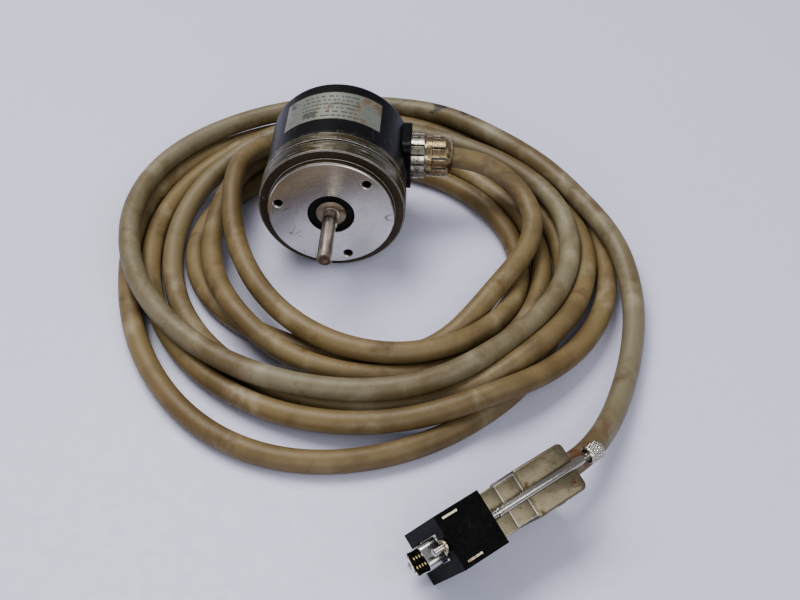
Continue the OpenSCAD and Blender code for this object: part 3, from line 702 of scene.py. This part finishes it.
def plate_finish():
    """A stained foil plate with plain printed bars, a frame line and a black square."""
    p = Paint("printed_plate", 0.85)
    turn = p.math("ARCTAN2", p.xyz("X"), p.xyz("Z"))
    y = p.xyz("Y")
    broad = p.noise(80, 5, 0.6, 0.6)
    smear = p.noise(190, 6, 0.7, 0.8)
    colour = p.mix(p.fit(broad, 0.35, 0.65), (0.40, 0.415, 0.365), (0.28, 0.29, 0.245))
    # Bars run round the plate; the gaps come from noise along each row.
    rows = p.math("DIVIDE", p.math("SUBTRACT", y, 0.0222), 0.0026)
    row = p.math("FLOOR", rows)
    inside = p.math("FRACT", rows)
    thick = p.math("MULTIPLY", p.fit(inside, 0.18, 0.24), p.fit(inside, 0.60, 0.54))
    cell = p.node("ShaderNodeCombineXYZ", {"X": p.math("MULTIPLY", turn, 26.0),
                                           "Y": p.math("MULTIPLY", row, 7.3), "Z": 0.0})
    words = p.node("ShaderNodeTexNoise", {"Vector": cell.outputs["Vector"], "Scale": 1.0,
                                          "Detail": 0.0}).outputs["Fac"]
    bars = p.math("MULTIPLY", thick, p.fit(words, 0.42, 0.45))
    window = p.math("MULTIPLY", p.fit(turn, -0.50, -0.47), p.fit(turn, 0.36, 0.33))
    window = p.math("MULTIPLY", window, p.math(
        "MULTIPLY", p.fit(y, 0.0222, 0.0224), p.fit(y, 0.0378, 0.0376)))
    bars = p.math("MULTIPLY", bars, window)
    square = p.math("MULTIPLY", p.math("MULTIPLY", p.fit(turn, -0.70, -0.695),
                                       p.fit(turn, -0.585, -0.59)),
                    p.math("MULTIPLY", p.fit(y, 0.0338, 0.0339), p.fit(y, 0.0372, 0.0371)))
    block = p.math("MULTIPLY", p.math("MULTIPLY", p.fit(turn, -0.46, -0.455),
                                      p.fit(turn, -0.26, -0.265)),
                   p.math("MULTIPLY", p.fit(y, 0.0236, 0.0237), p.fit(y, 0.0272, 0.0271)))
    ink = p.math("MAXIMUM", p.math("MAXIMUM", bars, square), block)
    worn = p.fit(smear, 0.72, 0.60)
    colour = p.mix(p.math("MULTIPLY", p.math("MULTIPLY", ink, worn), 0.85), colour,
                   (0.03, 0.03, 0.032))
    stain = p.math("MULTIPLY", p.fit(smear, 0.38, 0.50), p.fit(broad, 0.52, 0.58))
    colour = p.mix(p.math("MULTIPLY", stain, 0.85), colour, (0.10, 0.062, 0.03))
    edge = p.math("MAXIMUM", p.fit(y, 0.0217, 0.0211), p.fit(y, 0.0383, 0.0389))
    colour = p.mix(p.math("MULTIPLY", edge, p.fit(smear, 0.4, 0.6, 0.2, 0.9)), colour,
                   (0.20, 0.17, 0.13))
    p.set("Base Color", colour)
    p.set("Metallic", p.math("SUBTRACT", 0.8, p.math("MULTIPLY", p.math("MAXIMUM", stain, ink),
                                                     0.75)))
    p.set("Roughness", p.math("ADD", p.fit(broad, 0.3, 0.7, 0.30, 0.42),
                              p.math("MULTIPLY", stain, 0.25)))
    p.bump((smear, 0.00003), (p.noise(1500, 3, 0.6), 0.000008))
    return p.mat


def gland_finish():
    p = Paint("nickel_gland", 1.0)
    x = p.xyz("X")
    cloud = p.noise(330, 6, 0.65, 0.5)
    broad = p.noise(110, 4, 0.6, 0.3)
    nickel = p.mix(p.fit(broad, 0.35, 0.65), (0.52, 0.49, 0.41), (0.32, 0.29, 0.22))
    brass = p.mix(p.fit(broad, 0.35, 0.65), (0.42, 0.31, 0.165), (0.24, 0.165, 0.08))
    colour = p.mix(p.fit(x, 0.0353, 0.0362, 0, 0.85), nickel, brass)
    grime = p.fit(cloud, 0.48, 0.64)
    colour = p.mix(p.math("MULTIPLY", grime, 0.85), colour, (0.05, 0.035, 0.018))
    dy = p.math("SUBTRACT", p.xyz("Y"), 0.0365)
    r = p.math("SQRT", p.math("ADD", p.math("MULTIPLY", dy, dy),
                              p.math("MULTIPLY", p.xyz("Z"), p.xyz("Z"))))
    low = p.math("MULTIPLY", p.fit(r, 0.0092, 0.0089), p.fit(x, 0.0356, 0.0352))
    low = p.math("MAXIMUM", low, p.math("MULTIPLY", p.fit(r, 0.0083, 0.0080), p.math(
        "MULTIPLY", p.fit(x, 0.0383, 0.0386), p.fit(x, 0.0442, 0.0440))))
    colour = p.mix(low, colour, (0.010, 0.008, 0.006))
    # Sharp edges are lightened: a painted edge highlight.
    edge = p.edges(0.0004)
    colour = p.mix(p.math("MULTIPLY", edge, 0.4), colour, (0.80, 0.77, 0.68))
    p.set("Base Color", colour)
    p.set("Metallic", p.math("SUBTRACT", 1.0, p.math("MULTIPLY", low, 0.7)))
    p.set("Roughness", p.math("ADD", p.fit(broad, 0.3, 0.7, 0.18, 0.28),
                              p.math("MULTIPLY", grime, 0.3)))
    p.rounded(0.0003, (cloud, 0.00003))
    return p.mat


def glass(name, tint):
    p = Paint(name)
    r = about_shaft(p)
    turn = p.math("ARCTAN2", p.xyz("X"), p.xyz("Z"))
    marks = p.fit(p.math("SINE", p.math("MULTIPLY", turn, 256.0)), -0.1, 0.1)
    track = p.math("MULTIPLY", p.fit(r, 0.0150, 0.0152), p.fit(r, 0.0176, 0.0174))
    colour = p.mix(p.math("MULTIPLY", marks, track), tint, (0.05, 0.05, 0.055))
    p.set("Base Color", p.mix(p.fit(p.noise(300), 0.4, 0.7, 0, 0.2), colour, (0.5, 0.5, 0.45)))
    p.shader.inputs["Transmission Weight"].default_value = 0.85
    p.set("Roughness", p.fit(p.noise(500), 0.4, 0.7, 0.03, 0.14))
    return p.mat


def laminate():
    p = Paint("solder_mask")
    weave = p.noise(1800, 2, 0.5, 0, p.stretched(1, 1, 0.3))
    x = p.math("ABSOLUTE", p.math("SINE", p.math("MULTIPLY", p.xyz("X"), 1500.0)))
    z = p.math("ABSOLUTE", p.math("SINE", p.math("MULTIPLY", p.xyz("Z"), 1100.0)))
    runs = p.math("MULTIPLY", p.fit(p.math("MAXIMUM", x, z), 0.96, 0.985),
                  p.fit(p.noise(180, 2), 0.5, 0.54))
    colour = p.mix(p.fit(weave, 0.3, 0.7), (0.012, 0.10, 0.04), (0.02, 0.15, 0.06))
    p.set("Base Color", p.mix(runs, colour, (0.05, 0.28, 0.10)))
    p.set("Roughness", p.fit(weave, 0.3, 0.7, 0.25, 0.38))
    p.bump((runs, 0.00004), (weave, 0.00001))
    return p.mat


steel = metal("zinc_steel", (0.62, 0.62, 0.60), 0.32, (0.2, 0.16, 0.1), 0.6, 0.85, spots=0.4)
ground_steel = metal("ground_steel", (0.74, 0.74, 0.73), 0.16, (0.3, 0.26, 0.18), 0.66, 0.9,
                     (1, 0.1, 1))
rubber = plastic("black_rubber", (0.005, 0.0045, 0.0045), 0.6, (0.10, 0.07, 0.045), 0.4, 1800,
                 0.00004, 0.0002, 0.2)
finishes = {
    "flange_metal": flange_finish(),
    "seal_rubber": rubber,
    "bearing_steel": ground_steel,
    "cage_brass": metal("cage_brass", (0.72, 0.56, 0.27), 0.26, (0.25, 0.16, 0.06)),
    "shaft_steel": shaft_finish(),
    "fastener_steel": steel,
    "board_laminate": laminate(),
    "component_black": plastic("component_black", (0.02, 0.02, 0.022), 0.5),
    "connector_ivory": plastic("connector_ivory", (0.66, 0.62, 0.48), 0.4, (0.3, 0.25, 0.15)),
    "wire_pvc": plastic("wire_pvc", (0.42, 0.05, 0.03), 0.38, (0.2, 0.12, 0.08)),
    "disc_glass": glass("coded_glass", (0.8, 0.88, 0.92)),
    "lens_clear": glass("clear_lens", (0.9, 0.93, 0.95)),
    "cap_black": cap_finish(),
    "plate_foil": plate_finish(),
    "gland_nickel": gland_finish(),
    "block_black": plastic("block_black", (0.001, 0.001, 0.0012), 0.5, (0.05, 0.045, 0.04), 0.12,
                           1500, 0.000025, 0.0004, 0.1),
    "tab_metal": metal("dull_tab", (0.62, 0.55, 0.40), 0.34, (0.2, 0.14, 0.07), 0.5, 0.7),
    "hood_metal": hood_metal,
    "pin_gold": metal("gold_pins", (0.86, 0.66, 0.28), 0.2, (0.3, 0.2, 0.08), 0.66, 0.9),
    "cord_jacket": cord.data.materials[0],
}
rusty = metal("rusty_washer", (0.44, 0.37, 0.28), 0.42, (0.13, 0.075, 0.04), 0.46, 0.66, spots=0.5)
slots = {s["node"]: s["material_slot"] for s in frame["record"]["subparts"]}
for node, obj in frame["nodes"].items():
    finish = rusty if node == "shaft_washer" else finishes[slots[node]]
    if not obj.data.materials:
        obj.data.materials.append(finish)
    for k in range(len(obj.material_slots)):
        obj.material_slots[k].material = finish

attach(cord, "housing")

# ---- floor and light -----------------------------------------------------------------------------

p = Paint("pale_table")
wide = p.noise(3, 3, 0.5, 0.3)
fine = p.noise(260, 5, 0.6)
tone = p.mix(p.fit(wide, 0.3, 0.7), (0.63, 0.62, 0.77), (0.65, 0.66, 0.80))
tone = p.mix(p.fit(fine, 0.35, 0.75, 0, 0.25), tone, (0.58, 0.57, 0.68))
mark = p.fit(p.noise(38, 4, 0.75, 0.4), 0.755, 0.775)
tone = p.mix(p.math("MULTIPLY", mark, 0.35), tone, (0.42, 0.41, 0.46))
p.set("Base Color", tone)
p.set("Roughness", p.fit(fine, 0.3, 0.7, 0.42, 0.52))
p.bump((fine, 0.00002))
n = 24
half = 2
floor_mesh = bpy.data.meshes.new("table")
floor_mesh.from_pydata([(-half + 2 * half * i / n, -half + 2 * half * j / n, FLOOR_Z * MM)
                        for j in range(n + 1) for i in range(n + 1)], [],
                       [[j * (n + 1) + i, j * (n + 1) + i + 1, (j + 1) * (n + 1) + i + 1,
                         (j + 1) * (n + 1) + i] for j in range(n) for i in range(n)])
floor = bpy.data.objects.new("table", floor_mesh)
floor.data.materials.append(p.mat)
scene.collection.objects.link(floor)

world = bpy.data.worlds.new("studio")
world.use_nodes = True
world.node_tree.nodes["Background"].inputs["Color"].default_value = (0.90, 0.92, 1.0, 1)
world.node_tree.nodes["Background"].inputs["Strength"].default_value = 0.30
scene.world = world
scene.view_settings.look = "AgX - Medium High Contrast"


def area(name, at, to, size, power, tint):
    data = bpy.data.lights.new(name, "AREA")
    data.shape = "RECTANGLE"
    data.size, data.size_y = size
    data.energy = power
    data.color = tint
    lamp = bpy.data.objects.new(name, data)
    lamp.location = at
    lamp.rotation_euler = (Vector(to) - Vector(at)).to_track_quat("-Z", "Y").to_euler()
    scene.collection.objects.link(lamp)


area("key", (-0.35, 0.35, 1.1), (0, 0, 0), (0.9, 0.7), 13.0, (1.0, 0.985, 0.97))
area("fill", (0.7, -0.6, 0.9), (0, 0, 0), (1.0, 0.8), 5.0, (0.94, 0.96, 1.0))
area("front", (-0.1, -1.0, 0.5), (0, 0, 0), (0.8, 0.4), 3.0, (1.0, 1.0, 1.0))
